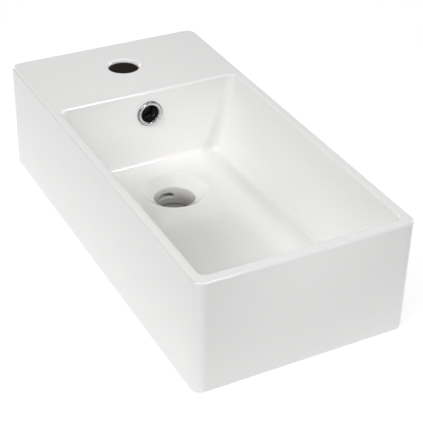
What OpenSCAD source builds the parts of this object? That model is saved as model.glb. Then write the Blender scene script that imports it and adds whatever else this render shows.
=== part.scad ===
// Small rectangular washbasin in white glazed china, with a flat tap ledge at one end, a deep
// bowl with a round waste dish, and a chrome ring in its overflow hole.
// The china is hollow below, open at the base, with the overflow duct cast inside it.
// Millimetres. The origin is the middle of the base, on the surface that the basin stands on:
// +X across the width, +Y towards the tap ledge, +Z up.

/* [Body] */
// Length of the basin, from the front face to the back face
body_l = 480; // [440:5:560]
// Width of the basin
body_w = 235; // [220:5:320]
// Height of the basin
body_h = 127; // [122:1:150]
// Radius of the four upright outer corners
corner_r = 11; // [6:0.5:16]
// Rounding of the outer edge along the top
top_edge_r = 4; // [2:0.5:6]
// Rounding of the outer edge along the base
base_edge_r = 3; // [1:0.5:5]
// Thickness of the outer walls
skirt_t = 9; // [7:0.5:11]
// Thickness of the ledge that carries the tap
ledge_t = 5; // [4:0.5:10]
// Radius of the upright corners inside the hollow
hollow_corner_r = 6; // [3:0.5:10]
// Depth below the top to which the outer wall and the bowl wall are one solid wall
rim_solid_h = 56; // [45:1:66]

/* [Bowl] */
// Width of the rim along both sides
rim_w = 10.5; // [10:0.5:16]
// Width of the rim along the front
front_rim_w = 12; // [10:0.5:16]
// Depth of the tap ledge, from the back face to the bowl
ledge_l = 130.5; // [120:0.5:150]
// Depth of the bowl at its back wall
bowl_depth = 94; // [85:0.5:96]
// Rise of the bowl floor from the back wall to the front wall
floor_rise = 7.5; // [4:0.5:20]
// Lean of the side walls from upright, in degrees
side_lean = 11.5; // [6:0.5:16]
// Lean of the front wall from upright, in degrees
front_lean = 12; // [6:0.5:18]
// Thickness of the bowl walls and floor
bowl_t = 9; // [7:0.5:10]
// Radius of the upright corners of the bowl at its mouth
mouth_corner_r = 8; // [6:0.5:14]
// Radius of the upright corners of the bowl at its floor
floor_corner_r = 13; // [10:0.5:18]
// Rounding of the edge around the mouth of the bowl
mouth_edge_r = 4; // [2:0.5:6]
// Fillet where the bowl walls meet the floor
floor_fillet_r = 8; // [5:0.5:11]

/* [Tap hole] */
// Radius of the tap hole
tap_r = 17.5; // [15:0.5:18]
// Distance from the back face to the centre of the tap hole
tap_back = 59; // [50:1:68]
// Rounding of the upper edge of the tap hole
tap_edge_r = 2; // [1:0.5:2.5]
// Rounding of the lower edge of the tap hole
tap_under_edge_r = 1; // [0.5:0.5:1.5]

/* [Waste] */
// Radius of the waste hole
waste_r = 23; // [20:0.5:25]
// Distance from the back wall of the bowl to the centre of the waste hole
waste_back = 65; // [62:1:90]
// Radius of the round dish around the waste hole
dish_r = 38; // [34:0.5:42]
// Depth of the dish below the floor of the bowl
dish_depth = 10; // [8:0.5:12]
// Rounding of the outer edge of the dish
dish_edge_r = 7; // [4:0.5:9]
// Thickness of the china around the waste hole
boss_t = 9; // [7:0.5:12]
// Height of the lower face of the waste boss above the base
boss_lift = 3; // [2:0.5:5]

/* [Overflow duct] */
// Width of the duct, which is also the width of its arched mouth in the waste hole
duct_w = 20; // [18:0.5:26]
// Height of the arched run of the duct
duct_h = 6; // [4:0.5:7]
// Depth of the upright part of the duct behind the bowl
duct_d = 11; // [10:0.5:14]
// Thickness of the china around the duct
duct_t = 6; // [4:0.5:7]
// Thickness of the china below the duct
duct_floor_t = 7; // [5:0.5:8]
// Clearance of the upright part of the duct around the overflow hole
duct_clear = 3; // [2:0.5:4]
// Radius of the overflow hole
overflow_r = 12; // [11:0.5:13]
// Depth of the overflow hole centre below the top
overflow_drop = 27.5; // [26:0.5:34]

/* [Overflow ring] */
// Outer radius of the flange
flange_r = 15.2; // [14.5:0.1:18]
// Thickness of the flange
flange_t = 2.8; // [2.5:0.1:4]
// Rounding of the outer edge of the flange
flange_edge_r = 2; // [1:0.1:2.4]
// Radial gap between the sleeve and the overflow hole
sleeve_gap = 0.3; // [0.2:0.05:0.5]
// Thickness of the sleeve
sleeve_t = 1; // [0.8:0.1:1.4]
// Length of the sleeve behind the flange
sleeve_l = 14; // [12:0.5:16]
// Width of the slots between the fingers of the sleeve
slot_w = 2.4; // [1.5:0.1:3.5]
// Length of the slots
slot_l = 8; // [5:0.5:9]
// Number of slots around the sleeve
slots = 4; // [3:1:6]
// Depth of the step inside the mouth of the ring
step_d = 1.3; // [0.8:0.1:1.6]
// Width of the step inside the mouth of the ring
step_w = 0.9; // [0.5:0.1:1.2]

/* [Hidden] */
$fn = 96;
// Overrun of every cut past the face that it starts from
over = 1;
// Steps around each upright corner of the bowl, and around each rounding of its edges
corner_steps = 8;
edge_steps = 5;

half_l = body_l / 2;
half_w = body_w / 2;
bowl_half = half_w - rim_w;
bowl_back = half_l - ledge_l;
bowl_front = front_rim_w - half_l;
floor_slope = floor_rise / (bowl_back - bowl_front);
waste_y = bowl_back - waste_back;
boss_r = waste_r + boss_t;
duct_floor = boss_lift + duct_floor_t;
duct_back = bowl_back + bowl_t + duct_d;
upright_half = overflow_r + duct_clear;
overflow_z = body_h - overflow_drop;
sleeve_r = overflow_r - sleeve_gap;
ring_bore_r = sleeve_r - sleeve_t;

// The corners of the bowl in turn, as their sides along X and Y, anticlockwise from above
CORNERS = [[1, -1], [1, 1], [-1, 1], [-1, -1]];

// Height of the bowl floor at a place along Y
function floor_z(y) = body_h - bowl_depth + (bowl_back - y) * floor_slope;

// Distance that a leaning wall and its floor fillet stand inside the mouth line, at height h
// above a floor that lies deep below the top
function wall_in(h, lean, deep, fillet) =
    let (turn = h < fillet ? acos(1 - h / fillet) : 90)
    turn < 90 - lean
        ? deep * tan(lean) + fillet * (tan((90 - lean) / 2) - sin(turn))
        : (deep - h) * tan(lean);

// Distance that a leaning wall with a rounded mouth edge stands inside the mouth line, at depth
// d below the top
function edge_in(d, lean, edge) =
    let (turn = d < edge ? acos(1 - max(d, 0) / edge) : 90)
    turn < 90 - lean
        ? edge * (sin(turn) - tan((90 - lean) / 2))
        : d * tan(lean);

// One ring of points around the bowl, grown outwards by grow: from_floor says whether v is a
// height above the floor or a depth below the top
function bowl_ring(v, from_floor, grow) = [
    for (i = [0:len(CORNERS) - 1])
        let (
            side = CORNERS[i],
            line_y = side.y > 0 ? bowl_back : bowl_front,
            lean_y = side.y > 0 ? 0 : front_lean,
            deep = body_h - floor_z(line_y) + grow,
            d = from_floor ? deep - v : v,
            in_x = from_floor
                ? wall_in(v, side_lean, deep, floor_fillet_r + grow)
                : edge_in(v, side_lean, mouth_edge_r),
            in_y = from_floor
                ? wall_in(v, lean_y, deep, floor_fillet_r + grow)
                : edge_in(v, lean_y, mouth_edge_r),
            pulled = (in_x - d * tan(side_lean) + in_y - d * tan(lean_y)) / 2,
            plain_r = mouth_corner_r + (floor_corner_r - mouth_corner_r) * d / deep,
            r = plain_r + grow - pulled,
            x = side.x * (bowl_half + grow / cos(side_lean) - in_x - r),
            y = line_y + side.y * (grow / cos(lean_y) - in_y - r)
        )
        for (k = [0:corner_steps])
            let (
                a = 90 * (i - 1 + k / corner_steps),
                py = y + r * sin(a)
            )
            [x + r * cos(a), py, from_floor ? floor_z(py) - grow + v : body_h - v]
];

// Solid through a stack of rings that have the same number of points, lowest ring first
module stack(rings) {
    n = len(rings[0]);
    last = len(rings) - 1;
    points = [for (ring = rings) for (p = ring) p];
    walls = [
        for (j = [0:last - 1], i = [0:n - 1])
            let (
                a = j * n + i,
                b = j * n + (i + 1) % n
            )
            for (face = [[a, a + n, b + n], [a, b + n, b]]) face
    ];
    floor_face = [for (i = [0:n - 1]) i];
    top_face = [for (i = [0:n - 1]) last * n + n - 1 - i];
    polyhedron(points, concat(walls, [floor_face, top_face]));
}

// Space of the bowl, with its floor fillets and the rounded edge of its mouth
module bowl_space() {
    turns = [for (k = [0:edge_steps]) 90 * k / edge_steps];
    low = [for (t = turns) bowl_ring(floor_fillet_r * (1 - cos(t)), true, 0)];
    high = [for (k = [edge_steps:-1:0]) bowl_ring(mouth_edge_r * (1 - cos(turns[k])), false, 0)];
    above = [for (p = high[edge_steps]) [p.x, p.y, body_h + over]];
    stack(concat(low, high, [above]));
}

// Outside of the bowl walls and floor, as the hollow below meets it
module bowl_shell() {
    fillet = floor_fillet_r + bowl_t;
    low = [for (k = [0:edge_steps]) bowl_ring(fillet * (1 - cos(90 * k / edge_steps)), true, bowl_t)];
    stack(concat(low, [bowl_ring(mouth_edge_r, false, bowl_t)]));
}

// Upright section of a block of half width w, with the rounded top and base edges
module edge_section(w) {
    translate([-w + top_edge_r, body_h / 2]) square([2 * (w - top_edge_r), body_h / 2]);
    translate([-w + base_edge_r, 0]) square([2 * (w - base_edge_r), body_h / 2]);
    translate([-w, base_edge_r]) square([2 * w, body_h - base_edge_r - top_edge_r]);
    for (s = [-1, 1]) {
        translate([s * (w - top_edge_r), body_h - top_edge_r]) circle(top_edge_r);
        translate([s * (w - base_edge_r), base_edge_r]) circle(base_edge_r);
    }
}

// Outer block of the basin, rounded along every edge
module outer_block() {
    rotate([90, 0, 0])
        linear_extrude(body_l - 2 * corner_r, center = true) edge_section(half_w);
    rotate([90, 0, 90])
        linear_extrude(body_w - 2 * corner_r, center = true) edge_section(half_l);
    for (s = CORNERS)
        translate([s.x * (half_w - corner_r), s.y * (half_l - corner_r), 0])
            rotate_extrude() intersection() {
                edge_section(corner_r);
                square([corner_r, body_h]);
            }
}

// Upright block with rounded corners, from the base cut up to height h, between two places on Y
module rounded_plate(half_x, y0, y1, r, h) {
    translate([0, 0, -over]) linear_extrude(h + over) {
        translate([-half_x, y0 + r]) square([2 * half_x, y1 - y0 - 2 * r]);
        translate([r - half_x, y0]) square([2 * (half_x - r), y1 - y0]);
        for (x = [r - half_x, half_x - r], y = [y0 + r, y1 - r]) translate([x, y]) circle(r);
    }
}

// China below the floor around the waste hole, which follows the dish down to the boss
module waste_boss() {
    floor_here = floor_z(waste_y);
    translate([0, waste_y, 0]) rotate_extrude() polygon([
        [0, boss_lift],
        [boss_r, boss_lift],
        [boss_r, floor_here - dish_depth - bowl_t],
        [dish_r + bowl_t, floor_here],
        [0, floor_here]
    ]);
}

// China around the overflow duct, behind the bowl and below its floor
module duct_wall() {
    run_half = duct_w / 2 + duct_t;
    outer_half = upright_half + duct_t;
    translate([-run_half, waste_y, boss_lift])
        cube([2 * run_half, duct_back + duct_t - waste_y, floor_z(waste_y) - boss_lift]);
    translate([-outer_half, bowl_back, boss_lift])
        cube([2 * outer_half, bowl_t + duct_d + duct_t, body_h - ledge_t - boss_lift + over]);
}

// Hollow below the bowl and the ledge, open at the base
module underside_hollow() {
    inner_half = half_w - skirt_t;
    inner_end = half_l - skirt_t;
    difference() {
        union() {
            rounded_plate(inner_half, -inner_end, inner_end, hollow_corner_r, body_h - rim_solid_h);
            rounded_plate(inner_half, bowl_back + bowl_t, inner_end, hollow_corner_r, body_h - ledge_t);
        }
        bowl_shell();
        waste_boss();
        duct_wall();
    }
}

// Round dish in the floor, square to the sloping floor, with a rounded outer edge
module dish_space() {
    pitch = atan(dish_depth / (dish_r - waste_r));
    reach = dish_edge_r * tan(pitch / 2);
    lowest = -dish_depth - over * tan(pitch);
    translate([0, waste_y, floor_z(waste_y)]) rotate([-atan(floor_slope), 0, 0]) rotate_extrude() {
        polygon([[0, over], [dish_r, over], [dish_r, 0], [waste_r - over, lowest], [0, lowest]]);
        difference() {
            polygon([
                [dish_r - over, over],
                [dish_r + reach, over],
                [dish_r + reach, 0],
                [dish_r - reach * cos(pitch), -reach * sin(pitch)]
            ]);
            translate([dish_r + reach, -dish_edge_r]) circle(dish_edge_r);
        }
    }
}

// Waste hole, straight through the boss
module waste_hole() {
    translate([0, waste_y, 0]) cylinder(r = waste_r, h = floor_z(waste_y));
}

// Overflow duct: an arched run from the waste hole, and an upright behind the bowl
module duct_space() {
    arch_r = (pow(duct_w / 2, 2) + pow(duct_h, 2)) / (2 * duct_h);
    translate([0, duct_back, duct_floor]) rotate([90, 0, 0])
        linear_extrude(duct_back - waste_y) intersection() {
            translate([0, duct_h - arch_r]) circle(arch_r);
            translate([-arch_r, 0]) square(2 * arch_r);
        }
    translate([-upright_half, bowl_back + bowl_t, duct_floor])
        cube([2 * upright_half, duct_d, overflow_z + upright_half - duct_floor]);
}

// Overflow hole, through the back wall of the bowl into the duct
module overflow_hole() {
    translate([0, bowl_back + bowl_t + duct_d / 2, overflow_z]) rotate([90, 0, 0])
        cylinder(r = overflow_r, h = bowl_t + duct_d / 2 + over);
}

// Rounded edge of radius r at the upper end of the tap hole, down from the height zero
module tap_edge(r) {
    rotate_extrude() difference() {
        translate([tap_r - over, -r]) square([r + over, r + over]);
        translate([tap_r + r, -r]) circle(r);
    }
}

// Tap hole through the ledge, with a rounded upper and lower edge
module tap_hole() {
    translate([0, half_l - tap_back, body_h - ledge_t]) {
        translate([0, 0, -over]) cylinder(r = tap_r, h = ledge_t + 2 * over);
        translate([0, 0, ledge_t]) tap_edge(tap_edge_r);
        mirror([0, 0, 1]) tap_edge(tap_under_edge_r);
    }
}

// The china basin, fired in one piece
module basin_body() {
    color("white") difference() {
        outer_block();
        underside_hollow();
        bowl_space();
        dish_space();
        waste_hole();
        duct_space();
        overflow_hole();
        tap_hole();
    }
}

// Half section of the overflow ring: X is the radius, and Y the distance out from the wall
module ring_section() {
    mouth_r = ring_bore_r + step_w;
    crown_r = flange_r - flange_edge_r;
    difference() {
        union() {
            translate([ring_bore_r, 0]) square([crown_r - ring_bore_r, flange_t]);
            translate([ring_bore_r, 0]) square([flange_r - ring_bore_r, flange_t - flange_edge_r]);
            intersection() {
                translate([crown_r, flange_t - flange_edge_r]) circle(flange_edge_r);
                translate([crown_r - over, 0]) square([flange_edge_r + over, flange_t]);
            }
        }
        translate([ring_bore_r - over, flange_t - step_d]) square([step_w + over, step_d + over]);
        translate([mouth_r, flange_t]) rotate(45) square(step_w, center = true);
    }
    translate([ring_bore_r, -sleeve_l]) square([sleeve_t, sleeve_l + over]);
}

// Chrome ring in the overflow hole: a rounded flange on the bowl wall and a slotted sleeve
module overflow_ring() {
    color("silver") translate([0, bowl_back, overflow_z]) rotate([90, 0, 0]) difference() {
        rotate_extrude() ring_section();
        for (k = [0:slots - 1]) rotate(360 * (k + 1 / 2) / slots)
            translate([ring_bore_r - over, -slot_w / 2, -sleeve_l - over])
                cube([sleeve_t + 2 * over, slot_w, slot_l + over]);
    }
}

basin_body();
overflow_ring();
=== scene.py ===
"""Dresses the washbasin: glazed china, bare clay underneath, a chrome overflow ring and a pale studio."""
import math
from contextlib import contextmanager

import bmesh
import bpy
from bpy.props import FloatProperty, FloatVectorProperty, PointerProperty
from bpy.types import Operator, Panel, PropertyGroup
from mathutils import Matrix, Vector


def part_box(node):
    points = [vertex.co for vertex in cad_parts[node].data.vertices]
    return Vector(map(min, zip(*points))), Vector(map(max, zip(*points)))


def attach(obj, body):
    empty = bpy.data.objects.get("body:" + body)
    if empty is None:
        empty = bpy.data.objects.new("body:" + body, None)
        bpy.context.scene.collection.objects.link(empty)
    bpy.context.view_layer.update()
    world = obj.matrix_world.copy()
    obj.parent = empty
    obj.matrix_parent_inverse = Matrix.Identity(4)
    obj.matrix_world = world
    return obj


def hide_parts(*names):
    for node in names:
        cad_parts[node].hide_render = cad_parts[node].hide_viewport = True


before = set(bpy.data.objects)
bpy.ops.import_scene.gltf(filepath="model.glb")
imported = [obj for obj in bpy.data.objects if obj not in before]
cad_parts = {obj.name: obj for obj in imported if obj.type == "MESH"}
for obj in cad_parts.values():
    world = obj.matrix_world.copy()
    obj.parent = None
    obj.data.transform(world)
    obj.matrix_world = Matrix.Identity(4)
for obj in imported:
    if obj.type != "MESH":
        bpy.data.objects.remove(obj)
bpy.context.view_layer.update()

bl_info = {
    "name": "Washbasin",
    "version": (1, 0, 0),
    "blender": (4, 5, 0),
    "location": "3D View > Sidebar > Washbasin",
    "description": "Models a small china washbasin with its chrome overflow ring around the packed frame",
    "category": "Object",
}

MM = 0.001
BODY_LOW, BODY_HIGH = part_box("basin_body")
RING_LOW, RING_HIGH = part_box("overflow_ring")
# Height of the overflow ring's axis
RING_Z = (RING_LOW.z + RING_HIGH.z) / 2
UP = Vector((0, 0, 1))
# The china's finishes, in the order of its material slots
CHINA_FINISHES = ("white_glaze", "bare_clay", "duct_painted_shade")
# Overrun of every cut past the face that it starts from
OVER = 5 * MM
# Two points closer than this are one point
SAME = 0.01 * MM
# Points of the finished china closer than this are merged
TWIN = 0.001 * MM
# Edges shorter than this are merged away before an edge is rounded
CRUMB = 0.4 * MM
# A face whose normal has more than this of up or down is level
LEVEL = 0.999


def length(name, description, millimetres):
    """A size property, given in millimetres."""
    return FloatProperty(
        name=name, description=description, default=millimetres * MM, min=0, precision=4, unit="LENGTH"
    )


def angle(name, description, degrees):
    """An angle property, given in degrees."""
    return FloatProperty(name=name, description=description, default=math.radians(degrees), unit="ROTATION")


def share(name, description, default):
    """A property from 0 to 1."""
    return FloatProperty(name=name, description=description, default=default, min=0, max=1, subtype="FACTOR")


def colour(name, description, default):
    """A colour property, in linear red, green and blue."""
    return FloatVectorProperty(
        name=name, description=description, default=default, min=0, max=1, subtype="COLOR"
    )


def strength(name, description, default):
    """A property for the strength of a light."""
    return FloatProperty(name=name, description=description, default=default, min=0)


class ChinaSizes(PropertyGroup):
    """Sizes of the china."""

    corner_r: length("Corner radius", "Radius of the four upright outer corners", 11)
    top_edge_r: length("Top edge", "Rounding of the outer edge along the top", 3)
    base_edge_r: length("Base edge", "Rounding of the outer edge along the base", 3)
    wall: length("Outer wall", "Thickness of the outer walls", 9)
    ledge_t: length("Ledge thickness", "Thickness of the ledge that carries the tap", 5)
    rim_solid: length("Solid rim", "Depth below the top to which outer wall and bowl are one wall", 56)
    side_rim: length("Side rim", "Width of the rim along both sides", 10.5)
    front_rim: length("Front rim", "Width of the rim along the front", 12)
    ledge: length("Tap ledge", "Depth of the tap ledge, from the back face to the bowl", 130.5)
    bowl_depth: length("Bowl depth", "Depth of the bowl at its back wall", 94)
    floor_rise: length("Floor rise", "Rise of the bowl floor from the back wall to the front wall", 7.5)
    side_lean: angle("Side lean", "Lean of the side walls from upright", 11.5)
    front_lean: angle("Front lean", "Lean of the front wall from upright", 12)
    bowl_t: length("Bowl thickness", "Thickness of the bowl walls and floor", 9)
    mouth_corner_r: length("Mouth corner", "Radius of the bowl's upright corners at its mouth", 8)
    floor_corner_r: length("Floor corner", "Radius of the bowl's upright corners at its floor", 13)
    hollow_corner_r: length("Hollow corner", "Radius of the upright corners of the hollow below", 6)
    mouth_edge_r: length("Mouth edge", "Rounding of the edge around the mouth of the bowl", 3.2)
    floor_fillet_r: length("Floor fillet", "Fillet where the bowl walls meet the floor", 8)
    soft_r: length("Cast rounding", "Rounding of the edges inside the hollow below", 2.5)


class HoleSizes(PropertyGroup):
    """Sizes of the tap hole, the waste and the overflow duct."""

    tap_r: length("Tap hole radius", "Radius of the tap hole", 17.5)
    tap_back: length("Tap hole place", "Distance from the back face to the centre of the tap hole", 59)
    tap_edge_r: length("Tap hole edge", "Rounding of the upper edge of the tap hole", 3.2)
    tap_under_r: length("Tap hole lower edge", "Rounding of the lower edge of the tap hole", 1)
    waste_r: length("Waste hole radius", "Radius of the waste hole", 23)
    waste_back: length("Waste hole place", "Distance from the bowl's back wall to the hole's centre", 65)
    waste_edge_r: length("Waste hole edge", "Rounding of the rim of the waste hole", 3.5)
    dish_r: length("Dish radius", "Radius of the round dish around the waste hole", 38)
    dish_depth: length("Dish depth", "Depth of the dish below the floor of the bowl", 10)
    dish_edge_r: length("Dish edge", "Rounding of the outer edge of the dish", 7)
    boss_t: length("Boss thickness", "Thickness of the china around the waste hole", 9)
    boss_lift: length("Boss lift", "Height of the lower face of the waste boss above the base", 3)
    duct_w: length("Duct width", "Width of the overflow duct and of its mouth in the waste hole", 20)
    duct_h: length("Duct height", "Height of the run of the duct below the floor", 6)
    duct_d: length("Duct depth", "Depth of the upright part of the duct behind the bowl", 11)
    duct_t: length("Duct wall", "Thickness of the china around the duct", 6)
    duct_floor_t: length("Duct floor", "Thickness of the china below the duct", 7)
    duct_clear: length("Duct clearance", "Clearance of the upright duct around the overflow hole", 3)
    duct_corner_r: length("Duct corner", "Radius of the corners inside the upright part of the duct", 3)
    duct_edge_r: length("Duct mouth edge", "Rounding of the edge of the duct's mouth", 1)
    overflow_r: length("Overflow hole radius", "Radius of the overflow hole", 12)


class RingSizes(PropertyGroup):
    """Sizes of the overflow ring."""

    flange_t: length("Flange thickness", "Thickness of the flange", 2.8)
    flange_edge_r: length("Flange edge", "Rounding of the outer edge of the flange", 2)
    lip_r: length("Lip rounding", "Rounding of the small edges in the mouth of the ring", 0.35)
    sleeve_gap: length("Sleeve gap", "Radial gap between the sleeve and the overflow hole", 0.3)
    sleeve_t: length("Sleeve thickness", "Thickness of the sleeve", 1)
    slot_w: length("Slot width", "Width of the slots between the fingers of the sleeve", 2.4)
    slot_l: length("Slot length", "Length of the slots", 8)
    step_d: length("Step depth", "Depth of the step inside the mouth", 1.3)
    step_w: length("Step width", "Width of the step inside the mouth", 0.9)


class Finishes(PropertyGroup):
    """Colours and gloss of the china, the clay and the chrome."""

    glaze: colour("Glaze", "Colour of the white glaze", (0.885, 0.881, 0.874))
    glaze_rough: share("Glaze roughness", "Roughness of the glaze", 0.08)
    clay: colour("Bare clay", "Colour of the fired clay where it has no glaze", (0.62, 0.58, 0.52))
    chrome: colour("Chrome", "Colour of the chrome plate", (0.72, 0.72, 0.73))
    chrome_rough: share("Chrome roughness", "Roughness of the chrome", 0.07)


class Studio(PropertyGroup):
    """Strengths and sizes of the studio's lights."""

    floor_glow: strength("Floor glow", "Light that the pale floor gives off", 0.79)
    light: strength("Lights", "Brightness of the soft boxes and the spot together", 1)
    box_far: length("Light distance", "Distance of the lights from the basin", 4000)


def clear_selection():
    """Deselects everything, because an operator acts on all that is selected."""
    bpy.ops.object.select_all(action="DESELECT")


def take(piece):
    """Makes a piece the only one that is selected."""
    clear_selection()
    piece.select_set(True)
    bpy.context.view_layer.objects.active = piece


@contextmanager
def modelling(piece):
    """Edit mode on one piece, and object mode again after it."""
    take(piece)
    bpy.ops.object.mode_set(mode="EDIT")
    yield
    bpy.ops.object.mode_set(mode="OBJECT")


def pick(piece, kind, test):
    """Selects the vertices, edges or faces that pass a test, by their place or normal, and no others."""
    bpy.ops.mesh.select_mode(type=kind)
    bpy.ops.mesh.select_all(action="DESELECT")
    mesh = bmesh.from_edit_mesh(piece.data)
    elements = {"VERT": mesh.verts, "EDGE": mesh.edges, "FACE": mesh.faces}[kind]
    found = [element for element in elements if test(element)]
    for element in found:
        element.select_set(True)
    mesh.select_flush_mode()
    bmesh.update_edit_mesh(piece.data)
    if not found:
        raise RuntimeError(f"{piece.name}: no {kind.lower()} passed the test")


def round_off(radius, segments, affect="EDGES"):
    """Rounds the picked edges or vertices."""
    bpy.ops.mesh.bevel(
        offset=radius,
        offset_type="OFFSET",
        segments=segments,
        profile=0.5,
        affect=affect,
        clamp_overlap=False,
        loop_slide=False,
    )


def upright(edge):
    """Whether an edge stands upright."""
    a, b = (v.co for v in edge.verts)
    return (a.xy - b.xy).length < SAME and abs(a.z - b.z) > SAME


def at_height(height):
    """Test for an edge or a face that lies at one height."""
    return lambda element: all(abs(v.co.z - height) < SAME for v in element.verts)


def block(name, low, high, corner_r=0, segments=4):
    """A block between two corners, with rounded upright edges."""
    clear_selection()
    low, high = Vector(low), Vector(high)
    bpy.ops.mesh.primitive_cube_add(size=1, location=(low + high) / 2, scale=high - low)
    piece = bpy.context.active_object
    piece.name = name
    bpy.ops.object.transform_apply(location=True, rotation=False, scale=True)
    if corner_r:
        with modelling(piece):
            pick(piece, "EDGE", upright)
            round_off(corner_r, segments)
    return piece


def plate(name, half_x, y0, y1, z):
    """A level rectangle, as one face."""
    clear_selection()
    middle = (0, (y0 + y1) / 2, z)
    bpy.ops.mesh.primitive_plane_add(size=1, location=middle)
    piece = bpy.context.active_object
    piece.name = name
    bpy.ops.transform.resize(value=(2 * half_x, y1 - y0, 1), center_override=middle)
    bpy.ops.object.transform_apply(location=True, rotation=False, scale=True)
    return piece


def outline_plate(name, half_x, y0, y1, z, corner_r, segments):
    """A level rectangle with rounded corners, as a loop of edges."""
    piece = plate(name, half_x, y0, y1, z)
    with modelling(piece):
        bpy.ops.mesh.select_mode(type="VERT")
        bpy.ops.mesh.select_all(action="SELECT")
        round_off(corner_r, segments, "VERTICES")
        bpy.ops.mesh.select_all(action="SELECT")
        bpy.ops.mesh.delete(type="ONLY_FACE")
    return piece


def joined(name, pieces):
    """Several pieces as one."""
    clear_selection()
    for piece in pieces:
        piece.select_set(True)
    bpy.context.view_layer.objects.active = pieces[0]
    bpy.ops.object.join()
    pieces[0].name = name
    return pieces[0]


def spun(name, outline, steps, place, closed=False):
    """A body of revolution. The outline's points are a radius and a height, and place moves its axis."""
    points = [place @ Vector((radius, 0, height)) for radius, height in outline]
    axis = (place.to_3x3() @ UP).normalized()
    clear_selection()
    bpy.ops.mesh.primitive_plane_add(size=OVER, location=points[0])
    piece = bpy.context.active_object
    piece.name = name
    bpy.ops.object.transform_apply(location=True, rotation=False, scale=False)
    with modelling(piece):
        bpy.ops.mesh.select_mode(type="VERT")
        bpy.ops.mesh.select_all(action="SELECT")
        bpy.ops.mesh.merge(type="CENTER")
        for before, after in zip(points, points[1:]):
            bpy.ops.mesh.extrude_vertices_move(TRANSFORM_OT_translate={"value": after - before})
        if closed:
            ends = (points[0], points[-1])
            pick(piece, "VERT", lambda v: min((v.co - end).length for end in ends) < SAME)
            bpy.ops.mesh.edge_face_add()
        bpy.ops.mesh.select_all(action="SELECT")
        bpy.ops.mesh.spin(steps=steps, angle=2 * math.pi, center=place.translation, axis=axis)
        bpy.ops.mesh.select_all(action="SELECT")
        bpy.ops.mesh.remove_doubles(threshold=SAME)
        bpy.ops.mesh.normals_make_consistent(inside=False)
    return piece


def cut(piece, tool, operation="DIFFERENCE"):
    """Cuts a piece with a tool, or joins the tool to it, and takes the tool away."""
    modifier = piece.modifiers.new("cut", "BOOLEAN")
    modifier.operation = operation
    modifier.object = tool
    modifier.solver = "EXACT"
    take(piece)
    bpy.ops.object.modifier_apply(modifier=modifier.name)
    bpy.data.objects.remove(tool)


def arc(centre, radius, start, end, steps):
    """Points of an arc in an outline, from one angle to another, in degrees."""
    turns = [math.radians(start + (end - start) * k / steps) for k in range(steps + 1)]
    return [(centre[0] + radius * math.cos(t), centre[1] + radius * math.sin(t)) for t in turns]


def run_out(point, slope, height):
    """Where a line that leaves an outline's point at a slope, in degrees, reaches a height."""
    return point[0] + abs(height - point[1]) / math.tan(math.radians(slope)), height


def finish_shading(piece, degrees):
    """Smooth shading that stays crisp past an angle, with flat faces kept flat."""
    take(piece)
    bpy.ops.object.shade_smooth_by_angle(angle=math.radians(degrees))
    modifier = piece.modifiers.new("even", "WEIGHTED_NORMAL")
    modifier.keep_sharp = True
    bpy.ops.object.modifier_apply(modifier=modifier.name)


def coated(tool, finish):
    """Gives every face of a tool one of the china's finishes, which it leaves on the faces that it cuts."""
    tool.data.materials.clear()
    for name in CHINA_FINISHES:
        tool.data.materials.append(bpy.data.materials[name])
    index = CHINA_FINISHES.index(finish)
    tool.data.polygons.foreach_set("material_index", [index] * len(tool.data.polygons))
    return tool


class Places:
    """Places on the basin that several tools share, worked out from the frame and the sizes."""

    def __init__(self, sizes, holes):
        self.top = BODY_HIGH.z
        self.half_x = BODY_HIGH.x
        self.back = BODY_HIGH.y
        self.front = BODY_LOW.y
        self.mouth_x = self.half_x - sizes.side_rim
        self.mouth_back = self.back - sizes.ledge
        self.mouth_front = self.front + sizes.front_rim
        self.floor_back = self.top - sizes.bowl_depth
        self.slope = sizes.floor_rise / (self.mouth_back - self.mouth_front)
        self.waste_y = self.mouth_back - holes.waste_back
        self.duct_floor = holes.boss_lift + holes.duct_floor_t
        self.duct_y0 = self.mouth_back + sizes.bowl_t
        self.duct_y1 = self.duct_y0 + holes.duct_d
        self.upright_half = holes.overflow_r + holes.duct_clear
        # Bevel offset for a radius of 1 between a level face and a wall that leans half as far as the sides
        self.round_share = math.tan((math.pi / 2 - sizes.side_lean / 2) / 2)

    def floor_z(self, y):
        """Height of the bowl floor at a place along Y."""
        return self.floor_back + (self.mouth_back - y) * self.slope


def bowl_form(name, sizes, at, grow, corner_steps, fillet_steps):
    """Closed form of the bowl's space, or of its outside with the china's thickness as grow."""
    lean_x, lean_y = math.tan(sizes.side_lean), math.tan(sizes.front_lean)
    out_x, out_y = grow / math.cos(sizes.side_lean), grow / math.cos(sizes.front_lean)
    widen = (sizes.floor_corner_r - sizes.mouth_corner_r) / sizes.bowl_depth
    rings = []
    for depth in (-OVER, sizes.bowl_depth + grow + OVER):
        rings.append(
            outline_plate(
                name,
                at.mouth_x - depth * lean_x + out_x,
                at.mouth_front + depth * lean_y - out_y,
                at.mouth_back + grow,
                at.top - depth,
                sizes.mouth_corner_r + depth * widen + grow,
                corner_steps,
            )
        )
    floor_point = Vector((0, at.mouth_back, at.floor_back - grow))
    floor_normal = Vector((0, at.slope, 1)).normalized()
    piece = joined(name, rings)

    def on_floor(edge):
        return all(abs((v.co - floor_point) @ floor_normal) < SAME for v in edge.verts)

    with modelling(piece):
        bpy.ops.mesh.select_mode(type="EDGE")
        bpy.ops.mesh.select_all(action="SELECT")
        bpy.ops.mesh.bridge_edge_loops()
        bpy.ops.mesh.select_all(action="SELECT")
        bpy.ops.mesh.bisect(plane_co=floor_point, plane_no=floor_normal, use_fill=True, clear_inner=True)
        pick(piece, "EDGE", at_height(at.top + OVER))
        bpy.ops.mesh.edge_face_add()
        bpy.ops.mesh.select_all(action="SELECT")
        bpy.ops.mesh.normals_make_consistent(inside=False)
        pick(piece, "EDGE", on_floor)
        round_off((sizes.floor_fillet_r + grow) * at.round_share, fillet_steps)
    return piece


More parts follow.
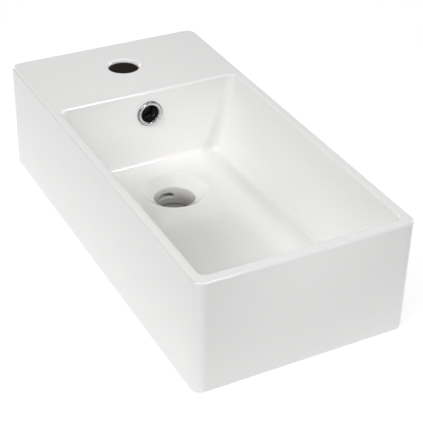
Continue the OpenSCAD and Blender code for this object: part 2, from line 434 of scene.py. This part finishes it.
def outer_block(sizes, at):
    """The outer block, rounded along every edge, with its underside in bare clay."""
    ends = (-at.half_x, at.front, 0), (at.half_x, at.back, at.top)
    piece = block("china_basin", *ends, sizes.corner_r, segments=12)
    # The duct's finish is the clay made nearly black, as painted shade deep in the duct
    for material in (glaze_finish(), clay_finish("bare_clay"), clay_finish("duct_painted_shade", tone=0.03)):
        piece.data.materials.append(material)
    with modelling(piece):
        pick(piece, "EDGE", at_height(at.top))
        round_off(sizes.top_edge_r, segments=7)
        pick(piece, "EDGE", at_height(0))
        round_off(sizes.base_edge_r, segments=5)
        pick(piece, "FACE", at_height(0))
        piece.active_material_index = CHINA_FINISHES.index("bare_clay")
        bpy.ops.object.material_slot_assign()
    return piece


def waste_tool(holes, at):
    """Tool for the round dish and the waste hole, square to the sloping floor."""
    pitch = math.atan(holes.dish_depth / (holes.dish_r - holes.waste_r))
    reach = holes.dish_r + holes.dish_edge_r * math.tan(pitch / 2)
    turn = math.degrees(pitch)
    # Degrees by which the arc stops short of level, so that the cut meets the floor at a clear line
    brink = 2
    edge = arc((reach, -holes.dish_edge_r), holes.dish_edge_r, 90 + brink, 90 + turn, steps=8)
    start = run_out(edge[0], brink, SAME)
    seat_r = holes.waste_r + holes.waste_edge_r
    seat_z = holes.waste_edge_r * math.tan(pitch) - holes.dish_depth - holes.waste_edge_r / math.cos(pitch)
    rim = arc((seat_r, seat_z), holes.waste_edge_r, 90 + turn, 180, steps=6)
    floor_here = at.floor_z(at.waste_y)
    outline = [(0, OVER), (start[0], OVER), start, *edge, *rim]
    outline += [(holes.waste_r, -floor_here - OVER), (0, -floor_here - OVER)]
    tilt = Matrix.Rotation(-math.atan(at.slope), 4, "X")
    place = Matrix.Translation((0, at.waste_y, floor_here)) @ tilt
    return spun("waste_tool", outline, steps=72, place=place)


def tap_tool(sizes, holes, at):
    """Tool for the tap hole, with a rounded upper and lower edge."""
    # Degrees by which both arcs stop short of level, so that the cut meets the ledge at clear lines
    brink = 3
    upper_at = (holes.tap_r + holes.tap_edge_r, -holes.tap_edge_r)
    lower_at = (holes.tap_r + holes.tap_under_r, holes.tap_under_r - sizes.ledge_t)
    upper = arc(upper_at, holes.tap_edge_r, 90 + brink, 180, steps=6)
    lower = arc(lower_at, holes.tap_under_r, 180, 270 - brink, steps=4)
    first = run_out(upper[0], brink, SAME)
    last = run_out(lower[-1], brink, -sizes.ledge_t - SAME)
    outline = [(0, OVER), (first[0], OVER), first, *upper, *lower, last]
    outline += [(last[0], last[1] - OVER), (0, last[1] - OVER)]
    place = Matrix.Translation((0, at.back - holes.tap_back, at.top))
    return spun("tap_tool", outline, steps=72, place=place)


def hollow_tool(sizes, holes, at):
    """Tool for the hollow below the bowl and the ledge, which leaves the bowl, the boss and the duct."""
    inner_x, inner_y = at.half_x - sizes.wall, at.back - sizes.wall
    # The second block starts lower, so that the two share no face
    under_bowl = (-inner_x, -inner_y, -OVER), (inner_x, inner_y, at.top - sizes.rim_solid)
    under_ledge = (-inner_x, at.duct_y0, -2 * OVER), (inner_x, inner_y, at.top - sizes.ledge_t)
    tool = block("hollow_tool", *under_bowl, sizes.hollow_corner_r, segments=5)
    cut(tool, block("high_tool", *under_ledge, sizes.hollow_corner_r, segments=5), "UNION")
    cut(tool, bowl_form("shell_tool", sizes, at, grow=sizes.bowl_t, corner_steps=8, fillet_steps=6))
    boss_r = holes.waste_r + holes.boss_t
    here = at.floor_z(at.waste_y)
    foot = (boss_r - sizes.soft_r, holes.boss_lift + sizes.soft_r)
    outline = [(0, holes.boss_lift), (foot[0], holes.boss_lift), *arc(foot, sizes.soft_r, -90, 0, steps=4)]
    outline += [(boss_r, here - holes.dish_depth - sizes.bowl_t)]
    outline += [(holes.dish_r + sizes.bowl_t, here), (0, here)]
    cut(tool, spun("boss_tool", outline, steps=64, place=Matrix.Translation((0, at.waste_y, 0))))
    run_half = holes.duct_w / 2 + holes.duct_t
    outer_half = at.upright_half + holes.duct_t
    duct_end = at.duct_y1 + holes.duct_t
    cut(tool, block("run_tool", (-run_half, at.waste_y, holes.boss_lift), (run_half, duct_end, here)))
    behind_bowl = (-outer_half, at.mouth_back, holes.boss_lift), (outer_half, duct_end, at.top)
    cut(tool, block("duct_tool", *behind_bowl, sizes.soft_r))
    return coated(tool, "bare_clay")


def duct_tools(holes, at):
    """Tools for the overflow duct: the run to the waste hole, the upright, and the overflow hole."""
    half = holes.duct_w / 2
    roof = at.duct_floor + holes.duct_h
    run = block("run_space", (-half, at.waste_y, at.duct_floor), (half, at.duct_y1, roof))
    with modelling(run):
        pick(run, "EDGE", lambda e: at_height(roof)(e) and abs(e.verts[0].co.x - e.verts[1].co.x) < SAME)
        round_off(holes.duct_h - SAME, segments=8)
    upright_space = block(
        "upright_space",
        (-at.upright_half, at.duct_y0, at.duct_floor - SAME),
        (at.upright_half, at.duct_y1 + SAME, RING_Z + at.upright_half),
        holes.duct_corner_r,
    )
    # The overflow hole runs from the bowl's back wall to the middle of the upright
    hole_end = at.duct_y0 + holes.duct_d / 2
    half_l = (hole_end - at.mouth_back + OVER) / 2
    middle = (0, (at.mouth_back + hole_end) / 2, RING_Z)
    hole = [(0, -half_l), (holes.overflow_r, -half_l), (holes.overflow_r, half_l), (0, half_l)]
    place = Matrix.Translation(middle) @ Matrix.Rotation(math.pi / 2, 4, "X")
    # The upright's faces take the nearly black painted shade of the duct
    return run, coated(upright_space, "duct_painted_shade"), spun("overflow_space", hole, steps=64, place=place)


class WASHBASIN_OT_china(Operator):
    """Model the china basin: outer block, bowl, holes, duct and the hollow below"""

    bl_idname = "washbasin.china"
    bl_label = "China basin"
    bl_options = {"REGISTER", "UNDO"}

    # An edge this close to the wall of the waste hole, and bent more than this, is the duct's mouth
    near_wall = 0.6 * MM
    crease = math.radians(40)

    def execute(self, context):
        sizes, holes = context.scene.china_sizes, context.scene.hole_sizes
        at = Places(sizes, holes)
        basin = outer_block(sizes, at)
        cut(basin, hollow_tool(sizes, holes, at))
        cut(basin, bowl_form("bowl_tool", sizes, at, grow=0, corner_steps=10, fillet_steps=8))
        with modelling(basin):
            pick(basin, "EDGE", lambda e: at_height(at.top)(e) and self.on_mouth(e, at))
            round_off(sizes.mouth_edge_r * at.round_share, segments=7)
        cut(basin, waste_tool(holes, at))
        for tool in duct_tools(holes, at):
            cut(basin, tool)
        cut(basin, tap_tool(sizes, holes, at))
        with modelling(basin):
            # Crumbs along the duct's mouth would grow spikes when it is rounded, so they go first
            pick(basin, "EDGE", lambda e: self.on_duct_mouth(e, at, holes))
            bpy.ops.mesh.remove_doubles(threshold=CRUMB)
            pick(basin, "EDGE", lambda e: self.on_duct_mouth(e, at, holes))
            round_off(holes.duct_edge_r, segments=4)
            bpy.ops.mesh.select_all(action="SELECT")
            bpy.ops.mesh.remove_doubles(threshold=TWIN)
        finish_shading(basin, degrees=35)
        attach(basin, "root")
        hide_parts("basin_body")
        return {"FINISHED"}

    @staticmethod
    def on_mouth(edge, at):
        """Whether an edge at the top is part of the bowl's mouth, and not of the outer edge."""
        faces = edge.link_faces
        level = [abs(face.normal.z) > LEVEL for face in faces]
        low, high = at.mouth_front - OVER, at.mouth_back + OVER
        inside = all(low < v.co.y < high and abs(v.co.x) < at.mouth_x + OVER for v in edge.verts)
        return len(faces) == 2 and level.count(True) == 1 and inside

    def on_duct_mouth(self, edge, at, holes):
        """Whether an edge is where the duct opens in the wall of the waste hole."""
        centre = Vector((0, at.waste_y))
        near = all(abs((v.co.xy - centre).length - holes.waste_r) < self.near_wall for v in edge.verts)
        low, high = at.duct_floor - SAME, at.duct_floor + holes.duct_h + SAME
        inside = all(low < v.co.z < high and v.co.y > at.waste_y for v in edge.verts)
        return near and inside and edge.calc_face_angle(0) > self.crease


class WASHBASIN_OT_ring(Operator):
    """Model the chrome overflow ring: domed flange, stepped mouth and slotted sleeve"""

    bl_idname = "washbasin.ring"
    bl_label = "Overflow ring"
    bl_options = {"REGISTER", "UNDO"}

    def execute(self, context):
        ring, holes = context.scene.ring_sizes, context.scene.hole_sizes
        flange_r = RING_HIGH.x
        wall_y = RING_LOW.y + ring.flange_t
        sleeve_l = RING_HIGH.y - wall_y
        sleeve_r = holes.overflow_r - ring.sleeve_gap
        bore_r = sleeve_r - ring.sleeve_t
        mouth_r = bore_r + ring.step_w
        lip = ring.lip_r
        shelf = ring.flange_t - ring.step_d
        outline = [(sleeve_r, 0), (flange_r, 0)]
        crown = (flange_r - ring.flange_edge_r, ring.flange_t - ring.flange_edge_r)
        outline += arc(crown, ring.flange_edge_r, 0, 90, steps=8)
        outline += arc((mouth_r + lip, ring.flange_t - lip), lip, 90, 180, steps=4)
        outline += [(mouth_r, shelf)]
        outline += arc((bore_r + lip, shelf - lip), lip, 90, 180, steps=3)
        outline += [(bore_r, -sleeve_l), (sleeve_r, -sleeve_l)]
        place = Matrix.Translation((0, wall_y, RING_Z)) @ Matrix.Rotation(math.pi / 2, 4, "X")
        piece = spun("chrome_ring", outline, steps=96, place=place, closed=True)
        slots = 4
        # Overrun of each slot past both faces of the sleeve
        past = OVER / 5
        for k in range(slots):
            turn = Matrix.Rotation(2 * math.pi * (k + 0.5) / slots, 4, "Z")
            tool = block(
                "slot_tool",
                (bore_r - past, -ring.slot_w / 2, -sleeve_l - OVER),
                (sleeve_r + past, ring.slot_w / 2, ring.slot_l - sleeve_l),
            )
            tool.data.transform(place @ turn)
            cut(piece, tool)
        piece.data.materials.clear()
        piece.data.materials.append(chrome_finish())
        finish_shading(piece, degrees=40)
        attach(piece, "root")
        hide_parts("overflow_ring")
        return {"FINISHED"}


class Wire:
    """A socket's value in shader maths, which ordinary expressions work on."""

    def __init__(self, finish, socket):
        self.finish = finish
        self.socket = socket

    def _maths(self, operation, first, second):
        """Works on two values with a Math node."""
        return self.finish.node("ShaderNodeMath", {"operation": operation}, {0: first, 1: second})

    def __add__(self, other):
        return self._maths("ADD", self, other)

    def __radd__(self, other):
        return self._maths("ADD", other, self)

    def __sub__(self, other):
        return self._maths("SUBTRACT", self, other)

    def __rsub__(self, other):
        return self._maths("SUBTRACT", other, self)

    def __mul__(self, other):
        return self._maths("MULTIPLY", self, other)

    def __rmul__(self, other):
        return self._maths("MULTIPLY", other, self)


class Finish:
    """A procedural material, whose nodes are made by one method."""

    def __init__(self, name):
        self.material = bpy.data.materials.new(name)
        self.material.use_nodes = True
        self.tree = self.material.node_tree
        self.shader = self.tree.nodes["Principled BSDF"]

    def feed(self, socket, value):
        """Sets a socket to a value or links a wire to it."""
        if isinstance(value, Wire):
            self.tree.links.new(value.socket, socket)
        else:
            socket.default_value = value

    def set(self, name, value):
        """Sets one of the shader's own sockets to a value, or links a wire to it."""
        self.feed(self.shader.inputs[name], value)

    def node(self, kind, settings, inputs, output=0):
        """Adds a node: its settings first, then its sockets' values or links."""
        made = self.tree.nodes.new(kind)
        for name, value in settings.items():
            setattr(made, name, value)
        for name, value in inputs.items():
            self.feed(made.inputs[name], value)
        return Wire(self, made.outputs[output])

    def place(self):
        """Place on the piece, in metres."""
        return self.node("ShaderNodeTexCoord", {}, {}, "Object")

    def reach(self, middle, along):
        """Distance from a point, measured only along the axes that are 1."""
        away = self.node("ShaderNodeVectorMath", {"operation": "SUBTRACT"}, {0: self.place(), 1: middle})
        away = self.node("ShaderNodeVectorMath", {"operation": "MULTIPLY"}, {0: away, 1: along})
        return self.node("ShaderNodeVectorMath", {"operation": "LENGTH"}, {0: away}, "Value")

    def noise(self, scale, detail=2.0, roughness=0.5):
        """Smooth noise with so many features to the metre."""
        sockets = {"Vector": self.place(), "Scale": scale, "Detail": detail, "Roughness": roughness}
        return self.node("ShaderNodeTexNoise", {}, sockets, "Fac")

    def band(self, value, low, high):
        """Ramp from 0 at low to 1 at high."""
        return self.node(
            "ShaderNodeMapRange",
            {"interpolation_type": "SMOOTHSTEP"},
            {"Value": value, "From Min": low, "From Max": high},
            "Result",
        )

    def mix(self, factor, first, second):
        """Blend of two colours."""
        first, second = ((*tone, 1) if isinstance(tone, tuple) else tone for tone in (first, second))
        # Inputs 6 and 7 and output 2 are the Mix node's colours
        inputs = {"Factor": factor, 6: first, 7: second}
        return self.node("ShaderNodeMix", {"data_type": "RGBA", "blend_type": "MIX"}, inputs, 2)

    def bump(self, height, distance):
        """Normal from a height of 0 to 1, with its full height in metres."""
        return self.node("ShaderNodeBump", {}, {"Height": height, "Distance": distance}, "Normal")


def shade(colour_value, factor):
    """A colour made lighter or darker."""
    return tuple(channel * factor for channel in colour_value)


def glaze_finish():
    """White glaze: glossy, faintly wavy, uneven in tone, with fine specks, and painted shade down the waste
    hole.
    """
    looks, holes = bpy.context.scene.finishes, bpy.context.scene.hole_sizes
    at = Places(bpy.context.scene.china_sizes, holes)
    finish = Finish("white_glaze")
    base = tuple(looks.glaze)
    drift = finish.band(finish.noise(7), 0.35, 0.65)
    tone = finish.mix(drift * 0.6, base, shade(base, 0.985))
    specks = finish.band(finish.noise(900, detail=1), 0.74, 0.80)
    tone = finish.mix(specks * 0.10, tone, shade(base, 0.8))
    # Painted shade: the glaze darkens towards a dark clay colour down the waste hole, from above the duct's
    # mouth to below it
    fade_top = at.duct_floor + holes.duct_h + 6 * MM
    fade_foot = at.duct_floor - 4 * MM
    height = finish.node("ShaderNodeSeparateXYZ", {}, {0: finish.place()}, "Z")
    from_axis = finish.reach((0, at.waste_y, 0), along=(1, 1, 0))
    inside = 1 - finish.band(from_axis, holes.waste_r, holes.waste_r + MM)
    painted_shade_down_hole = 1 - finish.band(height, fade_foot, fade_top)
    finish.set("Base Color", finish.mix(inside * painted_shade_down_hole * 0.8, tone, shade(looks.clay, 0.6)))
    finish.set("Roughness", finish.band(finish.noise(40, detail=3), 0.3, 0.7) * 0.05 + looks.glaze_rough)
    wave = finish.noise(55, detail=1) * 0.8 + finish.noise(260, detail=1) * 0.2
    finish.set("Normal", finish.bump(wave, 0.06 * MM))
    finish.set("IOR", 1.55)
    return finish.material


def clay_finish(name, tone=1.0):
    """Fired clay without glaze: matt, warm, fine-grained, with pale smears of stray glaze."""
    looks = bpy.context.scene.finishes
    finish = Finish(name)
    base = shade(looks.clay, tone)
    grain = finish.noise(1400, detail=4, roughness=0.6)
    cloud = finish.band(finish.noise(24, detail=4, roughness=0.6), 0.4, 0.7)
    smear = finish.band(finish.noise(11, detail=3), 0.55, 0.62)
    body = finish.mix(cloud, base, shade(base, 0.88))
    finish.set("Base Color", finish.mix(smear * 0.55, body, shade(looks.glaze, tone)))
    finish.set("Roughness", 0.85 - smear * 0.45)
    finish.set("Normal", finish.bump(grain, 0.15 * MM))
    return finish.material


def chrome_finish():
    """Bright chrome plate, with a faint haze, fine polishing waves and painted contact shade around its
    foot, where it is also rougher.
    """
    looks = bpy.context.scene.finishes
    finish = Finish("bright_chrome")
    haze = finish.band(finish.noise(180, detail=3), 0.4, 0.75)
    tone = finish.mix(haze * 0.5, tuple(looks.chrome), shade(looks.chrome, 0.93))
    # The painted contact shade, with its rougher chrome, begins 2 mm inside the flange's edge and is full
    # 0.6 mm inside it
    from_axis = finish.reach((0, 0, RING_Z), along=(1, 0, 1))
    foot = finish.band(from_axis, RING_HIGH.x - 2 * MM, RING_HIGH.x - 0.6 * MM)
    finish.set("Base Color", finish.mix(foot, tone, shade(looks.chrome, 0.45)))
    finish.set("Roughness", haze * 0.06 + foot * 0.15 + looks.chrome_rough)
    finish.set("Normal", finish.bump(finish.noise(320, detail=1), 0.004 * MM))
    finish.set("Metallic", 1.0)
    return finish.material


def floor_finish(name, tone, glow):
    """A matt floor, which gives off some light of its own."""
    finish = Finish(name)
    soft = finish.band(finish.noise(3), 0.3, 0.7)
    base = (tone, tone, tone)
    finish.set("Base Color", finish.mix(soft, base, shade(base, 0.98)))
    finish.set("Roughness", 0.9)
    finish.set("Emission Color", (1, 1, 1, 1))
    finish.set("Emission Strength", glow)
    return finish.material


def lamp(kind, name, compass, height, distance, target, power):
    """A light that faces a target, from a compass angle and a height angle in degrees."""
    turn = Matrix.Rotation(math.radians(compass), 3, "Z") @ Matrix.Rotation(math.radians(-height), 3, "Y")
    eye = target + turn @ Vector((distance, 0, 0))
    facing = (target - eye).to_track_quat("-Z", "Y").to_euler()
    clear_selection()
    bpy.ops.object.light_add(type=kind, location=eye, rotation=facing)
    made = bpy.context.active_object
    made.name = name
    made.data.energy = power
    return made.data


def soft_box(name, compass, height, distance, size, power):
    """A large square light that faces the basin."""
    light = lamp("AREA", name, compass, height, distance, (BODY_LOW + BODY_HIGH) / 2, power)
    light.shape = "SQUARE"
    light.size = size


def soft_spot(name, compass, height, distance, target, cone, size, power):
    """A narrow light, with a soft edge all the way to the middle of its cone."""
    light = lamp("SPOT", name, compass, height, distance, target, power)
    light.spot_size = math.radians(cone)
    light.spot_blend = 1
    light.shadow_soft_size = size


class WASHBASIN_OT_stage(Operator):
    """Set up the pale floor, the soft lights and the camera at the photograph's angle"""

    bl_idname = "washbasin.stage"
    bl_label = "Studio"
    bl_options = {"REGISTER", "UNDO"}

    # Camera, solved from the photograph: angles in degrees, place in metres
    azimuth = -28.099
    elevation = 32.895
    roll = 1.340
    eye = (-0.51247, -1.00419, 0.76087)
    # Its focal length and the photograph's width, in pixels
    focal_px = 1227.61
    photo_px = 423
    # Width of the camera's sensor, in millimetres
    sensor = 36.0

    # How far the floor reaches past the hollow below the basin, and radius of the backdrop, in metres
    spread = 0.4
    backdrop_r = 12.0

    # Soft boxes: name, compass angle from +X and height angle in degrees, size in metres, power in watts
    boxes = (
        ("left_key", 196, 38, 0.6, 27),
        ("left_low_box", 198, 32, 1.5, 18),
        ("left_box", 206, 54, 1.5, 47),
        ("over_box", 240, 72, 1.5, 24),
        ("right_key", 295, 42, 0.4, 32),
        ("right_box", 330, 34, 1.5, 5),
        ("back_box", 100, 38, 1.5, 6),
        ("right_low_box", 5, 20, 1.5, 60),
        ("back_low_box", 95, 20, 1.0, 48),
    )
    # Spot on the back wall of the bowl: compass angle, height angle and cone in degrees, size and power
    spot = (270, 15.5, 3, 0.1, 230)
    # Height of the point that the spot faces, as a share of the basin's height
    spot_share = 0.75

    def execute(self, context):
        studio = context.scene.studio
        self.floor(studio, context.scene.china_sizes)
        self.backdrop()
        for name, compass, height, size, power in self.boxes:
            soft_box(name, compass, height, studio.box_far, size, power * studio.light)
        compass, height, cone, size, power = self.spot
        wall_y = BODY_HIGH.y - context.scene.china_sizes.ledge
        on_wall = Vector((0, wall_y, self.spot_share * BODY_HIGH.z))
        soft_spot("wall_spot", compass, height, studio.box_far, on_wall, cone, size, power * studio.light)
        self.sky(context)
        self.camera(context)
        return {"FINISHED"}

    def floor(self, studio, sizes):
        """A floor that glows all round the basin, and is dark below its hollow."""
        inner_x, inner_y = BODY_HIGH.x - sizes.wall, BODY_HIGH.y - sizes.wall
        floor = plate("floor", inner_x, -inner_y, inner_y, 0)
        floor.data.materials.append(floor_finish("floor_shade", tone=0.2, glow=0.05))
        floor.data.materials.append(floor_finish("floor_light", tone=0.25, glow=studio.floor_glow))
        with modelling(floor):
            bpy.ops.mesh.select_mode(type="EDGE")
            bpy.ops.mesh.select_all(action="SELECT")
            bpy.ops.mesh.extrude_edges_move()
            outwards = ((inner_x + self.spread) / inner_x, (inner_y + self.spread) / inner_y, 1)
            bpy.ops.transform.resize(value=outwards, center_override=(0.0, 0.0, 0.0))
            pick(floor, "FACE", lambda f: max(abs(v.co.x) for v in f.verts) > inner_x + OVER)
            floor.active_material_index = 1
            bpy.ops.object.material_slot_assign()
            bpy.ops.mesh.select_all(action="SELECT")
            bpy.ops.mesh.normals_make_consistent(inside=False)

    def backdrop(self):
        """A white globe around everything, which casts no light on the basin and isn't mirrored in it."""
        clear_selection()
        bpy.ops.mesh.primitive_uv_sphere_add(segments=48, ring_count=24, radius=self.backdrop_r)
        globe = bpy.context.active_object
        globe.name = "backdrop"
        with modelling(globe):
            bpy.ops.mesh.select_all(action="SELECT")
            bpy.ops.mesh.normals_make_consistent(inside=True)
        globe.data.materials.append(floor_finish("backdrop_white", tone=0, glow=1))
        globe.visible_diffuse = False
        globe.visible_glossy = False
        globe.visible_transmission = False
        globe.visible_shadow = False

    @staticmethod
    def sky(context):
        """A sky that gives no light, so that only the floor and the lamps do."""
        world = bpy.data.worlds.new("sky")
        world.use_nodes = True
        world.node_tree.nodes["Background"].inputs["Strength"].default_value = 0
        context.scene.world = world

    def camera(self, context):
        """The camera at the photograph's angle."""
        clear_selection()
        turn = Matrix.Rotation(math.radians(self.azimuth), 4, "Z")
        tip = Matrix.Rotation(math.radians(90 - self.elevation), 4, "X")
        roll = Matrix.Rotation(math.radians(self.roll), 4, "Z")
        bpy.ops.object.camera_add(location=self.eye, rotation=(turn @ tip @ roll).to_euler())
        camera = bpy.context.active_object
        camera.name = "camera"
        camera.data.sensor_width = self.sensor
        camera.data.lens = self.sensor * self.focal_px / self.photo_px
        context.scene.camera = camera
        context.scene.view_settings.view_transform = "Standard"


class WASHBASIN_PT_panel(Panel):
    """Lists the sizes and the pieces in the sidebar"""

    bl_label = "Washbasin"
    bl_idname = "WASHBASIN_PT_panel"
    bl_space_type = "VIEW_3D"
    bl_region_type = "UI"
    bl_category = "Washbasin"

    def draw(self, context):
        for name, group in GROUPS.items():
            box = self.layout.box()
            box.label(text=group.__doc__)
            for key in group.__annotations__:
                box.prop(getattr(context.scene, name), key)
        for operator in OPERATORS:
            self.layout.operator(operator.bl_idname)


GROUPS = {
    "china_sizes": ChinaSizes,
    "hole_sizes": HoleSizes,
    "ring_sizes": RingSizes,
    "finishes": Finishes,
    "studio": Studio,
}
OPERATORS = (WASHBASIN_OT_stage, WASHBASIN_OT_china, WASHBASIN_OT_ring)


def register():
    """Registers the classes and puts the property groups on the scene."""
    for kind in (*GROUPS.values(), *OPERATORS, WASHBASIN_PT_panel):
        bpy.utils.register_class(kind)
    for name, group in GROUPS.items():
        setattr(bpy.types.Scene, name, PointerProperty(type=group))


def unregister():
    """Takes the property groups and the classes away again."""
    for name in GROUPS:
        delattr(bpy.types.Scene, name)
    for kind in (WASHBASIN_PT_panel, *OPERATORS, *GROUPS.values()):
        bpy.utils.unregister_class(kind)


def main():
    """Builds the studio and every piece in order."""
    register()
    bpy.ops.washbasin.stage()
    bpy.ops.washbasin.china()
    bpy.ops.washbasin.ring()


if __name__ == "__main__":
    main()
